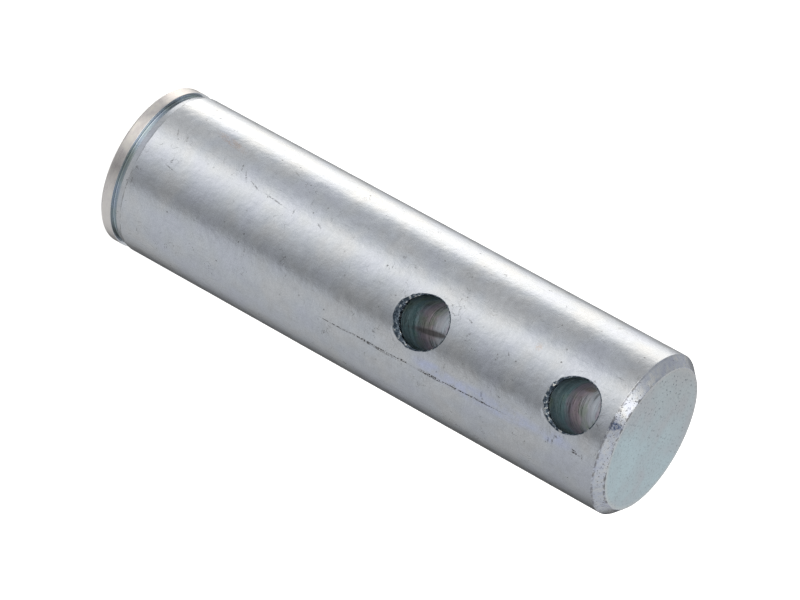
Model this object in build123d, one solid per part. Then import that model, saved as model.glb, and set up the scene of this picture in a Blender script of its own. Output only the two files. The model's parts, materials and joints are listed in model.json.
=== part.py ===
"""A zinc-plated steel clevis pin: one turned bar with a retaining-ring groove and two cross holes.

Millimetres. The pin stands on its grooved end. The origin is the centre of that end face, +Z runs along
the axis to the chamfered entry end, and both cross holes run along Y.
"""
from build123d import *
import os

# Driving dimensions
shank_diameter = 35.0
pin_length = 125.0
entry_chamfer = 2.0           # 45 degree lead-in round the top end
foot_edge_break = 0.4         # sharp corner taken off the grooved end

collar_width = 2.7            # full-diameter collar between the foot and the groove
groove_width = 1.1            # seat of the retaining ring
groove_depth = 1.0
shoulder_relief_length = 1.5  # shallow taper where the shank runs out to the groove
shoulder_relief_depth = 0.45

hole_diameter = 11.0          # takes a 10 mm linch pin
hole_to_end = 10.5            # centre of the outer cross hole, down from the top face
hole_spacing = 36.3           # centre to centre of the two cross holes
hole_edge_break = 0.3         # burr taken off each hole mouth

# Places that follow from them
shank_radius = shank_diameter / 2
groove_bottom = collar_width
groove_top = groove_bottom + groove_width
shank_bottom = groove_top + shoulder_relief_length
outer_hole_height = pin_length - hole_to_end
inner_hole_height = outer_hole_height - hole_spacing
hole_heights = (outer_hole_height, inner_hole_height)


def turned_blank():
    """The lathe-turned bar: half of its outline in the XZ plane, revolved round the axis."""
    outline = [
        (0, 0),
        (shank_radius - foot_edge_break, 0),
        (shank_radius, foot_edge_break),
        (shank_radius, groove_bottom),
        (shank_radius - groove_depth, groove_bottom),
        (shank_radius - groove_depth, groove_top),
        (shank_radius - shoulder_relief_depth, groove_top),
        (shank_radius, shank_bottom),
        (shank_radius, pin_length - entry_chamfer),
        (shank_radius - entry_chamfer, pin_length),
        (0, pin_length),
    ]
    half_section = make_face(Plane.XZ * Polyline(*outline, close=True))
    return revolve(half_section, Axis.Z)


def cross_drill(height):
    """The metal that one drill removes, right through the shank along Y at this height."""
    return Pos(0, 0, height) * Rot(90, 0, 0) * Cylinder(hole_diameter / 2, 2 * shank_diameter)


def is_hole_mouth(edge):
    """Whether an edge is the saddle-shaped rim where a cross hole breaks through the shank."""
    rim = edge.bounding_box()
    as_wide_as_hole = abs(rim.size.X - hole_diameter) < 0.01
    as_tall_as_hole = abs(rim.size.Z - hole_diameter) < 0.01
    return as_wide_as_hole and as_tall_as_hole


def clevis_pin():
    """The finished pin: the blank, cross-drilled, with the burr taken off every hole mouth."""
    drilled = turned_blank()
    for height in hole_heights:
        drilled = drilled - cross_drill(height)
    return chamfer(drilled.edges().filter_by(is_hole_mouth), hole_edge_break)


os.makedirs("parts", exist_ok=True)
export_step(clevis_pin(), "parts/clevis_pin.step")
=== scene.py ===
"""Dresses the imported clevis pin: a turned, cross-drilled steel bar with a bright zinc plate.

Metres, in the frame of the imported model: the pin stands on its grooved end, +Z is its axis, and both cross
holes run along Y. The camera looks down on it from the -Y side and is rolled, so the pin lies aslant.
"""
import json
import math
from functools import partial

import bmesh
import bpy
import numpy as np
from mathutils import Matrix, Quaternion, Vector


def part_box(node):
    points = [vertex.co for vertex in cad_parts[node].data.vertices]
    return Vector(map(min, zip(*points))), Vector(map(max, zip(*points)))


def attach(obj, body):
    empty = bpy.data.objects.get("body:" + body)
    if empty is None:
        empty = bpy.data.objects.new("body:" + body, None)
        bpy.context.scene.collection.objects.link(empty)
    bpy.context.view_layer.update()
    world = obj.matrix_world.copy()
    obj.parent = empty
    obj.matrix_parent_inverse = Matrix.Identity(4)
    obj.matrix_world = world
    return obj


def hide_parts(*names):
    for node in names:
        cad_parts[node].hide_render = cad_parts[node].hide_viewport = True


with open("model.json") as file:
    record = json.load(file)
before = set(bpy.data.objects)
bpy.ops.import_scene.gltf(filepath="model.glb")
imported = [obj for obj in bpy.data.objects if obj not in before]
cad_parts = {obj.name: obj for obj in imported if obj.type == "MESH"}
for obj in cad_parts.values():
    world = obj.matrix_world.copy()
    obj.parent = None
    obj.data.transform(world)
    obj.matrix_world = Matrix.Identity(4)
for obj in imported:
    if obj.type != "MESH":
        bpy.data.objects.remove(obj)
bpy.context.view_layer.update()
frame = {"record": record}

mm = 0.001

# Sizes that the frame holds
mounts = {mount["name"]: mount for mount in frame["record"]["mounts"]}
pin_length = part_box("clevis_pin")[1].z
shank_radius = mounts["shank"]["dims"]["r_mm"] * mm
hole_radius = mounts["outer_cross_hole"]["dims"]["r_mm"] * mm
inner_hole_height = mounts["inner_cross_hole"]["pos_m"][2]
outer_hole_height = mounts["outer_cross_hole"]["pos_m"][2]

# End details, as turned
foot_edge_break = 0.4 * mm
collar_width = 2.7 * mm
groove_width = 1.1 * mm
groove_depth = 1.0 * mm
relief_length = 1.5 * mm
relief_depth = 0.45 * mm
entry_chamfer = 2.0 * mm
groove_top = collar_width + groove_width
shank_bottom = groove_top + relief_length
shank_top = pin_length - entry_chamfer
end_face_radius = shank_radius - entry_chamfer

# The drill tore each hole's rim on the side towards the foot, a little round from it: (across, along the bar)
torn_side = np.array([math.sin(math.radians(20)), -math.cos(math.radians(20))])
inner_torn_width = 1.05 * mm
outer_torn_width = 0.7 * mm

# Mesh spacing
girth_cells = 220                  # round the bar: even, so that the patches on both sides line up
girth_step = 2 * math.pi * shank_radius / girth_cells
hole_patch_cells = 15              # half the side of the square patch round a hole mouth
hole_patch_half = hole_patch_cells * girth_step
row_step = 0.7 * mm

# Each way in which the surface was cut, in the order of the mesh's material slots
SHANK, COLLAR, GROOVE, CHAMFER, END, BORE, TORN_RIM = range(7)


def add_camera():
    """A long lens, 25 degrees above the floor, aimed at the pin's middle and rolled on its line of sight."""
    heading, elevation, roll = math.radians(-5.2), math.radians(24.95), math.radians(118.92)
    distance, aim = 0.9926, Vector((0, 0, 63.35 * mm))
    away = Vector((math.sin(heading) * math.cos(elevation),
                   -math.cos(heading) * math.cos(elevation),
                   math.sin(elevation)))
    camera = bpy.data.objects.new("camera", bpy.data.cameras.new("camera"))
    camera.data.lens = 223.6
    camera.data.sensor_width = 36
    camera.location = aim + away * distance
    level = (-away).to_track_quat("-Z", "Y")
    camera.rotation_mode = "QUATERNION"
    camera.rotation_quaternion = level @ Quaternion((0, 0, 1), roll)
    bpy.context.scene.collection.objects.link(camera)
    bpy.context.scene.camera = camera


def linear(hex_colour):
    """An sRGB hex colour as linear RGBA."""
    value = np.array([int(hex_colour[i:i + 2], 16) for i in (1, 3, 5)]) / 255
    rgb = np.where(value <= 0.04045, value / 12.92, ((value + 0.055) / 1.055) ** 2.4)
    return (*rgb.tolist(), 1.0)


def add_node(tree, kind, inputs=(), stops=(), **settings):
    """Adds one shader node with its settings, its links and its ramp's stops. The inputs are a list in socket
    order, or a dict by socket name or number. Each is a constant, a hex colour, an output, or a node, which
    stands for its first output. A stop is (position, hex colour or grey level)."""
    node = tree.nodes.new("ShaderNode" + kind)
    for name, value in settings.items():
        setattr(node, name, value)
    if stops:
        elements = node.color_ramp.elements
        while len(elements) < len(stops):
            elements.new(1.0)
        for element, (position, colour) in zip(elements, stops):
            element.position = position
            element.color = linear(colour) if isinstance(colour, str) else (colour, colour, colour, 1)
    for key, value in inputs.items() if isinstance(inputs, dict) else enumerate(inputs):
        if isinstance(value, bpy.types.Node):
            value = value.outputs[0]
        if isinstance(value, bpy.types.NodeSocket):
            tree.links.new(value, node.inputs[key])
        else:
            node.inputs[key].default_value = linear(value) if isinstance(value, str) else value
    return node


# ---------------------------------------------------------------------------------------------- shape

def ripple(points, wavelength, seed, waves=28):
    """A smooth random height, about -1 to 1, at each point: the scaled sum of plane waves sin(k . p + phase),
    whose directions are random and whose lengths are near wavelength."""
    rng = np.random.default_rng(seed)
    directions = rng.normal(size=(3, waves))
    directions /= np.linalg.norm(directions, axis=0)
    directions *= 2 * np.pi / wavelength * rng.uniform(0.6, 1.5, waves)
    return np.sin(points @ directions + rng.uniform(0, 2 * np.pi, waves)).sum(-1) / math.sqrt(waves)


def run_of_points(start, end, step):
    """Points from start to end, start + share * (end - start): even shares, and one more close to each end,
    which keeps the shading of a flat run from leaning into the rounding beside it."""
    length = np.linalg.norm(np.subtract(end, start))
    guard = min(0.12 * mm / length, 0.2)
    even = np.linspace(0, 1, max(1, round(length / step)) + 1)
    kept = even[(even < guard / 2) | (even > guard) & (even < 1 - guard)]
    shares = np.unique(np.concatenate([kept, [guard, 1 - guard, 1.0]]))
    return np.asarray(start) + shares[:, None] * np.subtract(end, start)


def rounded_outline(corners, step):
    """The outline through corners of (radius, height, rounding). Each inner corner becomes an arc tangent to
    its two runs: it starts rounding * tan(turn / 2) before the corner, and the point at sweep s is
    start + rounding * (before * sin s + side * (1 - cos s))."""
    place = np.array([corner[:2] for corner in corners])
    heading = np.diff(place, axis=0)
    heading /= np.linalg.norm(heading, axis=1)[:, None]
    points = []
    last = place[0]
    for i in range(1, len(corners) - 1):
        before, after, rounding = heading[i - 1], heading[i], corners[i][2]
        turn = math.atan2(before[0] * after[1] - before[1] * after[0], before @ after)
        start = place[i] - before * rounding * math.tan(abs(turn) / 2)
        side = math.copysign(1, turn) * np.array([-before[1], before[0]])
        sweep = np.linspace(0, abs(turn), 5)[:, None]
        arc = start + rounding * (side * (1 - np.cos(sweep)) + before * np.sin(sweep))
        points += [run_of_points(last, start, step)[:-1], arc[:-1]]
        last = arc[-1]
    points.append(run_of_points(last, place[-1], step))
    return np.concatenate(points)


def turned_outline():
    """The bar's half outline from the foot's centre up to the top's centre, as (radius, height) rows.
    The shank's rows fall on the edges of the square patches that hold the hole mouths."""
    groove_floor = shank_radius - groove_depth
    shank_start = shank_bottom + 1.0 * mm
    shank_end = shank_top - 1.0 * mm
    foot = rounded_outline([
        (0, 0, 0),
        (shank_radius - foot_edge_break, 0, 0.2 * mm),
        (shank_radius, foot_edge_break, 0.3 * mm),
        (shank_radius, collar_width, 0.1 * mm),
        (groove_floor, collar_width, 0.2 * mm),
        (groove_floor, groove_top, 0.2 * mm),
        (shank_radius - relief_depth, groove_top, 0.12 * mm),
        (shank_radius, shank_bottom, 1.0 * mm),
        (shank_radius, shank_start, 0)], row_step)
    top = rounded_outline([
        (shank_radius, shank_end, 0),
        (shank_radius, shank_top, 0.2 * mm),
        (end_face_radius, pin_length, 0.35 * mm),
        (0, pin_length, 0)], row_step)
    edges = [shank_start,
             inner_hole_height - hole_patch_half, inner_hole_height + hole_patch_half,
             outer_hole_height - hole_patch_half, outer_hole_height + hole_patch_half,
             shank_end]
    heights = [[shank_start]]
    for i in range(len(edges) - 1):
        in_patch = i % 2 == 1
        cells = 2 * hole_patch_cells if in_patch else round((edges[i + 1] - edges[i]) / row_step)
        heights.append(np.linspace(edges[i], edges[i + 1], cells + 1)[1:])
    heights = np.concatenate(heights)
    shank = np.column_stack([np.full(len(heights), shank_radius), heights])
    return np.concatenate([foot[:-1], shank, top[1:]])


def quads_of_grid(rows, columns):
    """The corner numbers of every cell of a grid of points, row by row, whose last column joins its first."""
    number = np.arange(rows * columns).reshape(rows, columns)
    number = np.concatenate([number, number[:, :1]], axis=1)
    return np.stack([number[:-1, :-1], number[:-1, 1:], number[1:, 1:], number[1:, :-1]], -1)


def bar_skin():
    """The turned surface: the half outline carried round the axis. The point at angle a from the hole line is
    (r sin a, -r cos a, height). The cells inside the square patch round each hole mouth are left out."""
    outline = turned_outline()
    angle = (np.arange(girth_cells) - girth_cells // 2) * 2 * np.pi / girth_cells
    radius, height = outline[:, :1], outline[:, 1:]
    points = np.stack([radius * np.sin(angle), -radius * np.cos(angle), height + 0 * angle], -1)
    quads = quads_of_grid(len(outline), girth_cells)
    row_radius, row_height = (outline[:-1] + outline[1:]).T / 2
    row_finish = np.select([(row_height < 0.01 * mm) | (row_height > pin_length - 0.01 * mm),
                            row_height > shank_top,
                            row_height < collar_width - 0.05 * mm,
                            (row_height < groove_top) & (row_radius < shank_radius - relief_depth)],
                           [END, CHAMFER, COLLAR, GROOVE], SHANK)
    finish = np.repeat(row_finish[:, None], girth_cells, axis=1)
    cell_angle = np.abs(angle + np.pi / girth_cells)
    from_hole_line = np.minimum(cell_angle, np.pi - cell_angle) * shank_radius
    in_patch = np.zeros(finish.shape, bool)
    for hole_height in (inner_hole_height, outer_hole_height):
        beside_hole = np.abs(row_height - hole_height) < hole_patch_half
        in_patch |= beside_hole[:, None] & (from_hole_line < hole_patch_half)
    return points.reshape(-1, 3), quads[~in_patch], finish[~in_patch]


def hole_skin(height, torn_width, seed):
    """One cross hole from mouth to mouth. Round each mouth, rings blend from the edge of the square patch to a
    circle, and lie on the bar: y = -sqrt(R^2 - x^2). A lip then turns by a quarter round into the wall: at
    sweep s its radius is r + lip (1 - sin s), sunk by lip (1 - cos s). The wall is a straight tube along Y,
    with shallow drill scoring. The lip widens by torn_width on the torn side and narrows with the cosine of the
    angle from there."""
    side = np.arange(-hole_patch_cells, hole_patch_cells) * girth_step
    full = np.full(len(side), hole_patch_half)
    edge_x = shank_radius * np.sin(np.concatenate([full, -side, -full, side]) / shank_radius)
    edge_z = np.concatenate([side, full, -side, -full])
    turn = np.arctan2(edge_z, edge_x)
    direction = np.stack([np.cos(turn), np.sin(turn)], -1)
    rim = np.column_stack([direction * hole_radius, np.full(len(turn), height)])
    rough = ripple(rim, 1.3 * mm, seed)
    towards_tear = np.clip(direction @ torn_side, 0, 1)
    lip = 0.14 * mm + torn_width * towards_tear ** 1.3 * (1 + 0.14 * rough)
    burr = np.clip(0.03 + 0.05 * rough, 0, None) * towards_tear * mm

    def on_bar(x, z, outward):
        return np.stack([x, -np.sqrt(shank_radius ** 2 - x ** 2) - outward, height + z], -1)

    mouth = []
    outer = (hole_radius + lip + 0.35 * mm)[:, None] * direction
    for share in np.linspace(0, 1, 6):
        ring = (1 - share) * np.column_stack([edge_x, edge_z]) + share * outer
        mouth.append(on_bar(ring[:, 0], ring[:, 1], 0))
    crest = (hole_radius + lip + 0.10 * mm)[:, None] * direction
    mouth.append(on_bar(crest[:, 0], crest[:, 1], burr))
    rings_on_bar = len(mouth) - 1
    for sweep in np.linspace(0, math.pi / 2, 8):
        ring = (hole_radius + lip * (1 - math.sin(sweep)))[:, None] * direction
        ragged = 0.09 * ripple(np.column_stack([ring, np.full(len(ring), sweep * mm)]), 0.9 * mm, seed + 5)
        sink = lip * (1 - math.cos(sweep)) + lip * ragged * math.sin(2 * sweep)
        mouth.append(on_bar(ring[:, 0], ring[:, 1], -sink))
    mouth = np.array(mouth)

    share = np.linspace(0, 1, 66)[1:-1, None]
    wall = np.stack(np.broadcast_arrays(hole_radius * direction[:, 0],
                                        mouth[-1, :, 1] * (1 - 2 * share),
                                        height + hole_radius * direction[:, 1]), -1)
    score = ripple(wall * np.array([0.25, 1, 0.25]), 2.2 * mm, seed + 1) * 0.02 * mm
    wall = wall + np.stack([direction[:, 0], 0 * turn, direction[:, 1]], -1) * score[..., None]

    points = np.concatenate([mouth, wall, mouth[::-1] * np.array([1, -1, 1])])
    mouth_finish = [SHANK] * rings_on_bar + [TORN_RIM] * (len(mouth) - 1 - rings_on_bar)
    row_finish = np.concatenate([mouth_finish, [BORE] * (len(wall) + 1), mouth_finish[::-1]])
    finish = np.repeat(row_finish, len(turn))
    return points.reshape(-1, 3), quads_of_grid(*points.shape[:2]).reshape(-1, 4), finish


def weld(skins):
    """Joins skins of (points, quads, finish) into one skin of triangles. Points in the same place, to a tenth
    of a micrometre, become one, and triangles that this leaves without area, as at the two poles, go."""
    first = np.cumsum([0] + [len(points) for points, _, _ in skins])
    points = np.concatenate([points for points, _, _ in skins])
    quads = np.concatenate([quads + start for (_, quads, _), start in zip(skins, first)])
    finish = np.concatenate([finish for _, _, finish in skins])
    _, keep, merged = np.unique(np.round(points * 1e7), axis=0, return_index=True, return_inverse=True)
    quads = merged.reshape(-1)[quads]
    triangles = np.concatenate([quads[:, [0, 1, 2]], quads[:, [0, 2, 3]]])
    a, b, c = triangles.T
    whole = (a != b) & (b != c) & (c != a)
    return points[keep], triangles[whole], np.tile(finish, 2)[whole]


def knocked(points):
    """Pushes the outside of the shank in by shallow dents and a faint ripple. A dent at distance d from its
    middle is depth * exp(-(d / width)^2) deep."""
    rng = np.random.default_rng(11)
    dents = 60
    where = rng.uniform(-np.pi, np.pi, dents)
    middle = np.stack([shank_radius * np.sin(where), -shank_radius * np.cos(where),
                       rng.uniform(shank_bottom, shank_top, dents)], -1)
    width = rng.uniform(0.9, 2.2, dents) * mm
    depth = rng.uniform(0.006, 0.02, dents) * mm
    radius = np.hypot(points[:, 0], points[:, 1])
    outside = np.flatnonzero(radius > shank_radius - 0.02 * mm)
    distance = np.linalg.norm(points[outside, None] - middle, axis=-1)
    sink = (depth * np.exp(-(distance / width) ** 2)).sum(-1)
    sink += 0.006 * mm * ripple(points[outside], 9 * mm, 5)
    moved = points.copy()
    moved[outside, :2] *= (1 - sink / radius[outside])[:, None]
    return moved


def build_pin():
    """The whole pin as one closed mesh, with a material for each way its surface was cut."""
    skins = [bar_skin(),
             hole_skin(inner_hole_height, inner_torn_width, seed=20),
             hole_skin(outer_hole_height, outer_torn_width, seed=21)]
    points, faces, finish = weld(skins)
    points = knocked(points)
    mesh = bpy.data.meshes.new("pin_body")
    mesh.from_pydata(points.tolist(), [], faces.tolist())
    for make in (zinc_on_shank, zinc_on_collar, zinc_in_groove, zinc_on_chamfer, zinc_on_faced_end,
                 zinc_in_drilled_bore, zinc_on_torn_rim):
        mesh.materials.append(make())
    mesh.polygons.foreach_set("material_index", finish.astype(np.int32))
    mesh.polygons.foreach_set("use_smooth", np.ones(len(faces), bool))
    turn_outward(mesh)
    pin = bpy.data.objects.new("pin_body", mesh)
    bpy.context.scene.collection.objects.link(pin)
    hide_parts("clevis_pin")
    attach(pin, "root")


def turn_outward(mesh):
    """Turns every face outward."""
    shape = bmesh.new()
    shape.from_mesh(mesh)
    bmesh.ops.recalc_face_normals(shape, faces=shape.faces)
    shape.to_mesh(mesh)
    shape.free()


# ------------------------------------------------------------------------------- patterns on the skin

def metal(name):
    """An empty metal material, a way to add nodes to it, and Object coordinates in millimetres."""
    material = bpy.data.materials.new(name)
    material.use_nodes = True
    material.node_tree.nodes["Principled BSDF"].inputs["Metallic"].default_value = 1.0
    add = partial(add_node, material.node_tree)
    place = add("VectorMath", {0: add("TexCoord").outputs["Object"], "Scale": 1 / mm}, operation="SCALE")
    return material, add, place


def around_bar(add, place):
    """Coordinates that follow the bar, in millimetres: the way round from the hole line, R atan2(x, -y), the
    height z, and the distance from the axis, sqrt(x^2 + y^2)."""
    x, y, z = add("SeparateXYZ", [place]).outputs
    front = add("Math", [y, -1.0], operation="MULTIPLY")
    angle = add("Math", [x, front], operation="ARCTAN2")
    way_round = add("Math", [angle, shank_radius / mm], operation="MULTIPLY")
    from_axis = add("VectorMath", [add("CombineXYZ", [x, y])], operation="LENGTH").outputs["Value"]
    return add("CombineXYZ", [way_round, z, from_axis])


def clouds(add, place, spacing, detail=2.0, seed=0.0):
    """Cloudy mottling, 0 to 1, whose blobs are about spacing millimetres long in x, y and z."""
    scaled = add("Mapping", {"Vector": place, "Location": (seed, seed, seed),
                             "Scale": tuple(1 / size for size in spacing)})
    return add("TexNoise", {"Vector": scaled, "Scale": 1.0, "Detail": detail, "Roughness": 0.6}).outputs["Fac"]


def specks(add, place, spacing, size, edge, rarity, certainty):
    """Small round specks, 0 to 1, one at most in each cell of spacing millimetres. Size and edge are shares of
    the cell. A cell whose random number is under rarity has none, and from certainty up its speck is full."""
    cell = add("TexVoronoi", {"Vector": place, "Scale": 1 / spacing})
    chance = add("SeparateColor", [cell.outputs["Color"]])
    return add("Math", [add("MapRange", [cell.outputs["Distance"], size, edge]),
                        add("MapRange", [chance, rarity, certainty])], operation="MULTIPLY")


def spots(add, place, marks):
    """Soft-edged ellipses, 0 outside to 1 inside. A mark is (x, y, length, width, slant) in the plane of the
    first two coordinates, in millimetres, and its slant is in degrees from the first."""
    any_depth = 1e6
    strength = 0.0
    for x, y, length, width, slant in marks:
        own_frame = add("Mapping", {"Vector": place, "Location": (x, y, 0),
                                    "Rotation": (0, 0, math.radians(slant)),
                                    "Scale": (length / 2, width / 2, any_depth)}, vector_type="TEXTURE")
        reach = add("VectorMath", [own_frame], operation="LENGTH").outputs["Value"]
        strength = add("Math", [add("MapRange", [reach, 1.0, 0.5]), strength], operation="MAXIMUM")
    return strength


def on_bar(marks):
    """The marks with their degrees round the bar as millimetres of its girth."""
    return [(math.radians(turn) * shank_radius / mm, *rest) for turn, *rest in marks]


def give_finish(material, add, colour, roughness, relief):
    """Feeds the metal. Relief is a list of (pattern, height in millimetres), and its heights add up."""
    height = 0.0
    for pattern, rise in relief:
        height = add("Math", [pattern, rise, height], operation="MULTIPLY_ADD")
    bump = add("Bump", {"Height": height, "Strength": 1.0, "Distance": mm})
    shader = material.node_tree.nodes["Principled BSDF"]
    for name, source in (("Base Color", colour), ("Roughness", roughness), ("Normal", bump)):
        material.node_tree.links.new(source.outputs[0], shader.inputs[name])
    return material


# ------------------------------------------------------------------------------------------ materials

# Wear marks, tints and one patch of painted shade on the shank: (degrees round from the hole line, height,
# length, width, slant), in millimetres and degrees. A slant of 90 runs along the bar.
long_scratch = [(31, 70, 24, 0.35, 91), (29, 92, 24, 0.35, 92), (32, 60, 9, 0.3, 90),
                (31, 68.5, 10, 0.55, 90), (32, 71.5, 11, 0.3, 90), (30, 77, 3, 0.5, 90),
                (30.5, 83.5, 8, 0.6, 91), (29.5, 83.5, 6.5, 0.35, 90), (28.5, 95.5, 6.5, 0.5, 90),
                (28, 118.5, 2.5, 0.5, 88), (26.5, 118, 1.5, 0.4, 80)]
nicks = [(-33, 26, 3, 0.4, 20), (-28, 28, 3.5, 0.4, 38), (-25, 31, 4, 0.4, 70), (-23, 36.5, 7, 0.4, 84),
         (-32, 9.5, 2.5, 0.35, 30), (-31, 12, 2.5, 0.3, 0), (-15, 87, 2.5, 0.5, 75), (-30, 120, 2, 0.5, 90),
         (-49, 36, 2, 0.6, 75), (34, 24, 1.5, 0.7, 60), (40, 107, 1.5, 0.5, 0), (38, 80, 1, 0.4, 0),
         (39, 104, 1.5, 0.5, 0), (-8, 13, 4, 0.35, 80), (-22, 48, 2, 0.5, 65), (-4, 95.5, 1.5, 0.45, 25),
         (-8, 97.5, 1.5, 0.4, 35), (-7, 88, 1.5, 0.5, -30), (-30, 107, 1, 0.6, 0), (11, 6, 1.5, 0.6, 5),
         (29, 112, 1.5, 0.6, 3), (28, 113, 1, 0.6, 15), (24, 113.5, 1.5, 0.6, 80), (28, 120, 1.5, 0.6, 10),
         (63, 62.5, 1.5, 0.8, 70), (19, 86, 1.5, 0.4, 0), (19, 88, 1, 0.4, 10), (19, 99, 1.5, 0.4, 80)]
# Painted shade: a dark patch on the relief beside the groove, near the bar's lower side, where the groove's
# edge shades it
relief_painted_shade = [(68, 4.4, 9, 1.3, 0)]
lilac_sheen = [(27, 97, 34, 4.2, 90), (25, 84, 12, 3.0, 90), (26, 113, 10, 3.4, 90)]
rust_bloom = [(-22, 102, 2.2, 1.8, 20), (-46, 20, 10, 2.5, 80)]


def zinc_on_shank():
    """Bright zinc with a clear bluish passivate over a fine-turned bar: a soft mirror, mottled at one to four
    millimetres, with turning streaks round the bar, drag marks along it, and brown-black scratches. The marks
    change colour and gloss only: with them in the relief as well, the whole shank rendered black."""
    material, add, place = metal("zinc_on_turned_shank")
    skin = around_bar(add, place)
    height = add("SeparateXYZ", [skin]).outputs["Y"]
    cloud = clouds(add, place, (9, 9, 9))
    mottle = clouds(add, place, (2.4, 2.4, 2.4), detail=5.0, seed=3.0)
    drag = clouds(add, place, (0.45, 0.45, 3.2), seed=7.0)
    # A lathe's feed lines are about 0.1 mm apart: they are drawn at 0.22 mm, so that they show
    streak = clouds(add, place, (3.0, 3.0, 0.22), seed=11.0)
    peel = clouds(add, place, (1.3, 1.3, 1.3), seed=13.0)
    # Plating grain is a few hundredths of a millimetre: it is drawn at 0.3 mm, so that it shows
    grain = clouds(add, place, (0.3, 0.3, 0.3), seed=17.0)
    ragged = clouds(add, place, (0.35, 0.35, 0.35), detail=3.0, seed=19.0)
    wave = clouds(add, place, (5, 5, 5), seed=37.0)

    scratch = add("Math", [spots(add, skin, on_bar(long_scratch)), add("MapRange", [ragged, 0.42, 0.56])],
                  operation="MULTIPLY")
    nick = add("Math", [spots(add, skin, on_bar(nicks)), add("MapRange", [ragged, 0.42, 0.56, 0.0, 0.5])],
               operation="MULTIPLY")

    # A squiggle is where a slow cloud crosses its middle value, kept only here and there
    slow = clouds(add, place, (3.2, 3.2, 3.2), seed=23.0)
    off_middle = add("Math", [add("Math", [slow, 0.5], operation="SUBTRACT")], operation="ABSOLUTE")
    here_and_there = clouds(add, place, (5, 5, 5), seed=29.0)
    squiggle = add("Math", [add("MapRange", [off_middle, 0.012, 0.004]),
                            add("MapRange", [here_and_there, 0.56, 0.62])], operation="MULTIPLY")
    squiggle = add("Math", [squiggle, add("MapRange", [ragged, 0.4, 0.55, 0.0, 0.5])], operation="MULTIPLY")
    speck = add("Math", [specks(add, place, 2.0, 0.13, 0.06, 0.5, 0.9), 0.6], operation="MULTIPLY")

    # A broken dark line along the top edge of the relief
    relief_edge_height = shank_bottom / mm - 0.05
    off_line = add("Math", [add("Math", [height, relief_edge_height], operation="SUBTRACT")], operation="ABSOLUTE")
    relief_edge_line = add("Math", [add("MapRange", [off_line, 0.22, 0.08]),
                           add("MapRange", [mottle, 0.4, 0.6, 0.0, 0.45])], operation="MULTIPLY")
    # Painted shade on the relief beside the groove, at half strength, joins the dark marks
    dark = add("Math", [spots(add, skin, on_bar(relief_painted_shade)), 0.5], operation="MULTIPLY")
    for mark in (scratch, nick, squiggle, speck, relief_edge_line):
        dark = add("Math", [dark, mark], operation="MAXIMUM")

    tone = add("ValToRGB", [cloud], stops=[(0.36, "#C1C6D0"), (0.5, "#C2C7CE"), (0.64, "#C5C8CC")])
    lilac = add("Math", [spots(add, skin, on_bar(lilac_sheen)),
                         add("MapRange", [mottle, 0.3, 0.6, 0.0, 0.55])], operation="MULTIPLY")
    tone = add("MixRGB", [lilac, tone, "#B8C2E4"])
    rust_and_painted_reflection = add("Math", [spots(add, skin, on_bar(rust_bloom)), add("MapRange", [ragged, 0.4, 0.6, 0.0, 0.5])],
               operation="MULTIPLY")
    tone = add("MixRGB", [rust_and_painted_reflection, tone, "#B9A598"])
    shade = add("MapRange", [mottle, 0.3, 0.7, 0.93, 1.03])
    shade = add("Math", [shade, add("MapRange", [drag, 0.55, 0.75, 0.0, -0.07])], operation="ADD")
    shade = add("Math", [shade, add("MapRange", [grain, 0.3, 0.7, -0.045, 0.045])], operation="ADD")
    tone = add("VectorMath", {0: tone, "Scale": shade}, operation="SCALE")
    colour = add("MixRGB", [dark, tone, "#3B3734"])
    roughness = add("Math", [dark, 0.3, add("MapRange", [mottle, 0.3, 0.7, 0.17, 0.27])],
                    operation="MULTIPLY_ADD")
    return give_finish(material, add, colour, roughness,
                       [(wave, 0.05), (peel, 0.034), (streak, 0.0035), (grain, 0.005), (mottle, 0.014)])


def zinc_on_collar():
    """Zinc on the collar: creamier and more satin than the shank, from a coarser cut, with painted light on one
    side.
    """
    material, add, place = metal("zinc_on_turned_collar")
    way_round = add("SeparateXYZ", [around_bar(add, place)])
    mottle = clouds(add, place, (2.0, 2.0, 1.2), detail=4.0)
    band = clouds(add, place, (5, 5, 0.5), seed=5.0)
    tone = add("ValToRGB", [mottle], stops=[(0.35, "#BDB9B9"), (0.5, "#C8C5C4"), (0.65, "#D3D0CB")])
    # Painted light: one side, from 4 to 18 mm round from the hole line, is mixed towards a pale colour
    colour = add("MixRGB", [add("MapRange", [way_round, 4, 18]), tone, "#E9E6E4"])
    roughness = add("MapRange", [mottle, 0.3, 0.7, 0.26, 0.34])
    return give_finish(material, add, colour, roughness, [(mottle, 0.03), (band, 0.02)])


def zinc_in_groove():
    """Zinc in the turned groove: the passivate pools there and looks blue-grey, with painted shade in two
    places towards the sides of the bar."""
    material, add, place = metal("zinc_in_turned_groove")
    pool = clouds(add, place, (5, 5, 1.5))
    tool_line = clouds(add, place, (1, 1, 0.4), seed=4.0)
    tone = add("ValToRGB", [pool], stops=[(0.38, "#A8B4C2"), (0.5, "#AAB7BE"), (0.62, "#A3AFAD")])
    # Painted shade: dark patches in the groove towards both sides of the bar
    painted_groove_shade = spots(add, around_bar(add, place), on_bar([(70, 3.5, 9, 3.6, 0), (-54, 3.5, 6, 3.6, 0)]))
    painted_groove_shade = add("Math", [painted_groove_shade, 0.6], operation="MULTIPLY")
    colour = add("MixRGB", [painted_groove_shade, tone, "#6A7068"])
    roughness = add("MapRange", [pool, 0.3, 0.7, 0.24, 0.34])
    return give_finish(material, add, colour, roughness, [(tool_line, 0.02)])


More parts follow.
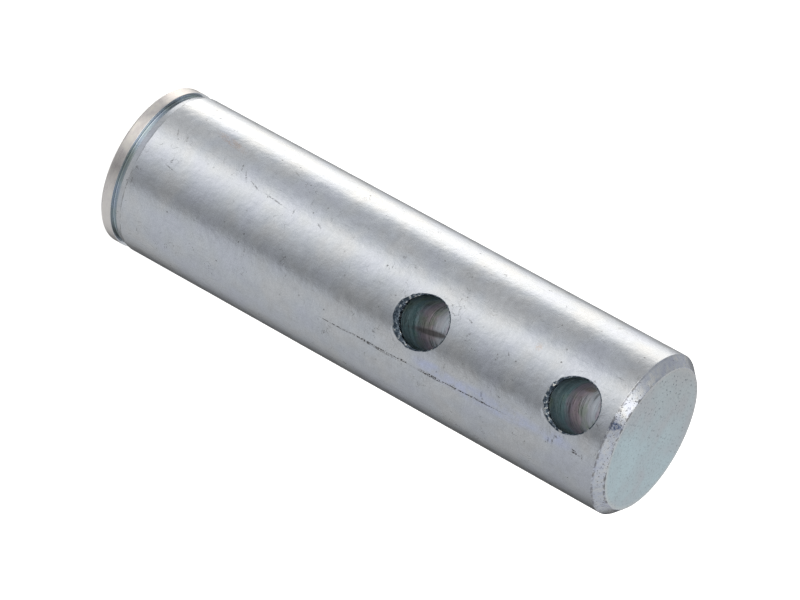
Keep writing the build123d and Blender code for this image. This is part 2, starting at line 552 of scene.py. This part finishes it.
def zinc_on_chamfer():
    """Zinc on the lead-in chamfer: bright, with nicks and pits where it knocked against its hole, and a patch
    of painted dark-blue reflection."""
    material, add, place = metal("zinc_on_turned_chamfer")
    skin = around_bar(add, place)
    radius = add("SeparateXYZ", [skin]).outputs["Z"]
    mottle = clouds(add, place, (1.6, 1.6, 1.6), detail=5.0)
    ragged = clouds(add, place, (0.4, 0.4, 0.4), detail=3.0, seed=9.0)
    long_ragged = clouds(add, place, (1.4, 1.4, 1.4), detail=3.0, seed=12.0)
    tone = add("ValToRGB", [mottle], stops=[(0.35, "#AFB5C4"), (0.5, "#B9BFC9"), (0.65, "#C3C6C9")])
    # A painted reflection: a dark-blue patch standing in for the dark part of the room that the chamfer mirrors
    blue = spots(add, skin, on_bar([(-1.5, 124, 1.6, 3.4, 0), (0.5, 123.6, 1.4, 1.6, 20)]))
    blue = add("Math", [blue, add("MapRange", [ragged, 0.35, 0.55, 0.0, 0.9])], operation="MULTIPLY")
    tone = add("MixRGB", [blue, tone, "#44597F"])

    worn = spots(add, skin, on_bar([(15, 124, 36, 60, 0), (40, 124, 22, 60, 0)]))
    outer, inner = shank_radius / mm, end_face_radius / mm
    dark = add("Math", [add("MapRange", [ragged, 0.6, 0.66]), add("MapRange", [worn, 0.0, 0.5, 0.3, 0.75])],
               operation="MULTIPLY")
    for edge, gaps, most in ((add("MapRange", [radius, outer - 0.4, outer - 0.2]), (0.36, 0.54), 0.62),
                             (add("MapRange", [radius, inner + 0.35, inner + 0.15]), (0.46, 0.56), 0.7)):
        chipped = add("Math", [edge, add("MapRange", [long_ragged, *gaps])], operation="MULTIPLY")
        chipped = add("Math", [chipped, add("MapRange", [worn, 0.0, 0.5, 0.15, most])], operation="MULTIPLY")
        dark = add("Math", [dark, chipped], operation="MAXIMUM")
    colour = add("MixRGB", [dark, tone, "#45403F"])
    roughness = add("MapRange", [mottle, 0.3, 0.7, 0.17, 0.28])
    return give_finish(material, add, colour, roughness, [(mottle, 0.03), (ragged, 0.012), (dark, -0.04)])


def zinc_on_faced_end():
    """Zinc on the faced end: matte, because the plating follows a rougher cut, with pits and faint scratches.
    It is greyer and more pitted on one side, and has a painted highlight round its rim."""
    material, add, place = metal("zinc_on_faced_end")
    side = add("SeparateXYZ", [place])
    radius = add("SeparateXYZ", [around_bar(add, place)]).outputs["Z"]
    cloud = clouds(add, place, (9, 9, 9), seed=2.0)
    fine = clouds(add, place, (0.5, 0.5, 0.5), detail=4.0, seed=6.0)
    long_grain = clouds(add, place, (0.35, 2.2, 1.0), seed=8.0)
    tone = add("ValToRGB", [cloud], stops=[(0.36, "#B4BDC4"), (0.5, "#B3C2C9"), (0.64, "#B6C8CF")])
    # A painted highlight: a paler band round the rim of the end face
    rim = add("MapRange", [radius, end_face_radius / mm - 1.1, end_face_radius / mm - 0.2, 0.0, 0.6])
    tone = add("MixRGB", [rim, tone, "#C9CCCD"])
    tone = add("MixRGB", [add("MapRange", [side, 2, -14, 0.0, 0.55]), tone, "#B0AEAF"])
    dark = add("Math", [specks(add, place, 1 / 1.3, 0.3, 0.15, 0.5, 0.8),
                        add("MapRange", [side, 6, -10, 0.35, 0.95])], operation="MULTIPLY")
    for pattern in (add("MapRange", [long_grain, 0.62, 0.7, 0.0, 0.25]),
                    add("MapRange", [fine, 0.56, 0.7, 0.0, 0.45])):
        dark = add("Math", [dark, pattern], operation="MAXIMUM")
    colour = add("MixRGB", [dark, tone, "#5B6570"])
    roughness = add("MapRange", [fine, 0.3, 0.7, 0.45, 0.58])
    return give_finish(material, add, colour, roughness, [(fine, 0.04), (dark, -0.05)])


def zinc_in_drilled_bore():
    """Thin zinc in a drilled hole, scored round by the drill: teal by the mouths, mauve, then a paler grey-blue
    deeper in, which is partly painted light from the far mouth. The inner hole has a painted dark reflection
    along its wall, and the outer one a rust-brown painted reflection."""
    material, add, place = metal("zinc_in_drilled_bore")
    _, along, height = add("SeparateXYZ", [place]).outputs
    wander = clouds(add, place, (3, 3, 3), seed=1.0)
    moss = clouds(add, place, (4, 6, 4), seed=14.0)
    ring = clouds(add, place, (4.5, 0.35, 4.5), detail=3.0, seed=21.0)
    wandering = add("Math", [along, add("MapRange", [wander, 0.2, 0.8, -2.5, 2.5])], operation="ADD")
    depth = add("MapRange", [wandering, -shank_radius / mm, shank_radius / mm])
    # Colour along the bore: teal and mauve are the plating's tints, and the paler grey-blue in the middle is
    # partly painted light from the far mouth
    tone = add("ValToRGB", [depth],
               stops=[(0.0, "#57767E"), (0.2, "#6A949A"), (0.27, "#7F8492"), (0.34, "#8F7F8F"),
                      (0.42, "#A08F98"), (0.5, "#A7A6AE"), (0.66, "#A9B2BC"), (0.78, "#8F7F8F"),
                      (0.86, "#6A949A"), (1.0, "#57767E")])
    tone = add("MixRGB", [add("MapRange", [moss, 0.52, 0.66, 0.0, 0.55]), tone, "#6B8468"])

    deep_step = add("Math", [spots(add, place, [(0, -2.2, 30, 3.6, 0)]), 0.1, ring], operation="MULTIPLY_ADD")
    torn_ring = add("Math", [add("MapRange", [deep_step, 0.56, 0.64]),
                             add("MapRange", [wander, 0.38, 0.5, 0.0, 0.7])], operation="MULTIPLY")
    # A painted dark reflection: a dark band along the inner hole's wall, mirroring the far mouth's rim
    painted_dark_reflection = add("Math", [spots(add, place, [(2.6, -1.0, 1.5, 24.0, 0)]),
                         add("MapRange", [height, 100, 90, 0.0, 0.9])], operation="MULTIPLY")
    # A painted reflection tinted rust-brown on the outer hole's wall, mirroring the far mouth's rim
    rust_and_painted_reflection = add("Math", [spots(add, place, [(-2.9, -2.0, 1.6, 7.0, 0)]),
                        add("MapRange", [height, 90, 100, 0.0, 0.7])], operation="MULTIPLY")
    tone = add("MixRGB", [rust_and_painted_reflection, tone, "#6B4F42"])
    dark = add("Math", [torn_ring, painted_dark_reflection], operation="MAXIMUM")
    colour = add("MixRGB", [dark, tone, "#2E2A2A"])
    roughness = add("MapRange", [ring, 0.3, 0.7, 0.3, 0.42])
    return give_finish(material, add, colour, roughness, [(ring, 0.05), (wander, 0.05)])


def zinc_on_torn_rim():
    """Zinc over the torn steel at a hole's rim: dark navy between small bright facets."""
    material, add, place = metal("zinc_on_torn_rim")
    tear = clouds(add, place, (0.7, 0.7, 0.7), detail=3.0, seed=31.0)
    colour = add("ValToRGB", [tear], stops=[(0.46, "#39434E"), (0.56, "#66727F"), (0.68, "#D2D2CE")])
    roughness = add("MapRange", [tear, 0.3, 0.7, 0.3, 0.15])
    return give_finish(material, add, colour, roughness, [(tear, 0.35)])


# --------------------------------------------------------------------------------------------- studio

def build_floor():
    """A white floor. To the camera it glows just enough to be white, and the pin's shadow still darkens it."""
    half = 3.0
    mesh = bpy.data.meshes.new("floor")
    corners = [(-half, -half, 0), (half, -half, 0), (half, half, 0), (-half, half, 0)]
    mesh.from_pydata(corners, [], [(0, 1, 2, 3)])
    floor = bpy.data.objects.new("floor", mesh)
    bpy.context.scene.collection.objects.link(floor)
    material = bpy.data.materials.new("white_floor")
    material.use_nodes = True
    material.node_tree.nodes.clear()
    add = partial(add_node, material.node_tree)
    paper = add("BsdfDiffuse", {"Color": "#F2F2F2"})
    glow = add("Emission", {"Color": "#FFFFFF", "Strength": 0.6})
    bright_paper = add("AddShader", [paper, glow])
    seen = add("MixShader", [add("LightPath").outputs["Is Camera Ray"], paper, bright_paper])
    add("OutputMaterial", {"Surface": seen})
    mesh.materials.append(material)
    floor.visible_glossy = False
    floor.visible_shadow = False


# Soft panels round the pin, as (heading in degrees from the hole line, brightness). The upright side of the
# bar mirrors the lower ones; the chamfer and the top end mirror the upper ones.
lower_panels = [(-180, 0.3), (-163, 0.36), (-154, 0.85), (-145, 1.25), (-137, 1.75), (-126, 1.95),
                (-112, 1.9), (-106, 1.35), (-100, 0.92), (-94, 0.72), (-84, 0.63), (-70, 0.64), (-60, 0.76),
                (-52, 0.98), (-46, 1.2), (-40, 1.42), (-34, 1.36), (-25, 1.14), (-13, 0.84), (-2, 0.64),
                (8, 0.5), (18, 0.39), (28, 0.35), (33, 0.45), (38, 0.66), (60, 0.71), (90, 0.62), (115, 0.56),
                (128, 0.44), (140, 0.25), (152, 0.1), (180, 0.2)]
upper_panels = [(-180, 0.95), (-160, 0.65), (-127, 0.56), (-99, 0.6), (-82, 0.68), (-68, 1.15), (-60, 1.9),
                (-50, 2.3), (-30, 2.4), (-22, 2.0), (-12, 0.7), (0, 0.45), (15, 0.4), (28, 0.6), (45, 0.9),
                (90, 0.85), (120, 0.72), (150, 0.66), (180, 0.95)]
brightest = 2.4
floor_level = 0.25
ceiling_level = 0.5


def build_studio():
    """The room as the metal sees it. The heading atan2(x, -y) picks a brightness from each row of panels, the
    climb z blends the rows at the horizon, and the floor and ceiling take over far below and above it."""
    world = bpy.data.worlds.new("studio")
    bpy.context.scene.world = world
    world.use_nodes = True
    world.node_tree.nodes.clear()
    add = partial(add_node, world.node_tree)
    x, y, climb = add("SeparateXYZ", [add("TexCoord").outputs["Generated"]]).outputs
    front = add("Math", [y, -1.0], operation="MULTIPLY")
    heading = add("Math", [x, front], operation="ARCTAN2")
    turn = add("MapRange", [heading, -math.pi, math.pi])
    lower, upper = [add("ValToRGB", [turn], stops=[((angle + 180) / 360, level / brightest)
                                                   for angle, level in panels])
                    for panels in (lower_panels, upper_panels)]
    lower = add("Math", [lower, add("MapRange", [climb, -0.33, -0.53, 0.82, 1.22])], operation="MULTIPLY")
    lower = add("Mix", {0: add("MapRange", [climb, -0.6, -0.8, 0.0, 0.85]), 2: lower, 3: floor_level})
    upper = add("Mix", {0: add("MapRange", [climb, 0.92, 0.99]), 2: upper, 3: ceiling_level})
    level = add("Mix", {0: add("MapRange", [climb, -0.08, 0.08]), 2: lower, 3: upper})
    warmth = add("ValToRGB", [level], stops=[(0.33, "#FFFFFF"), (0.75, "#FFFAF2")])
    strength = add("Math", [level, brightest], operation="MULTIPLY")
    room = add("Background", {"Color": warmth, "Strength": strength})
    white = add("Background", {"Color": "#FFFFFF", "Strength": 1.0})
    seen = add("MixShader", [add("LightPath").outputs["Is Camera Ray"], room, white])
    add("OutputWorld", {"Surface": seen})


add_camera()
build_pin()
build_floor()
build_studio()
bpy.context.scene.view_settings.view_transform = "Standard"
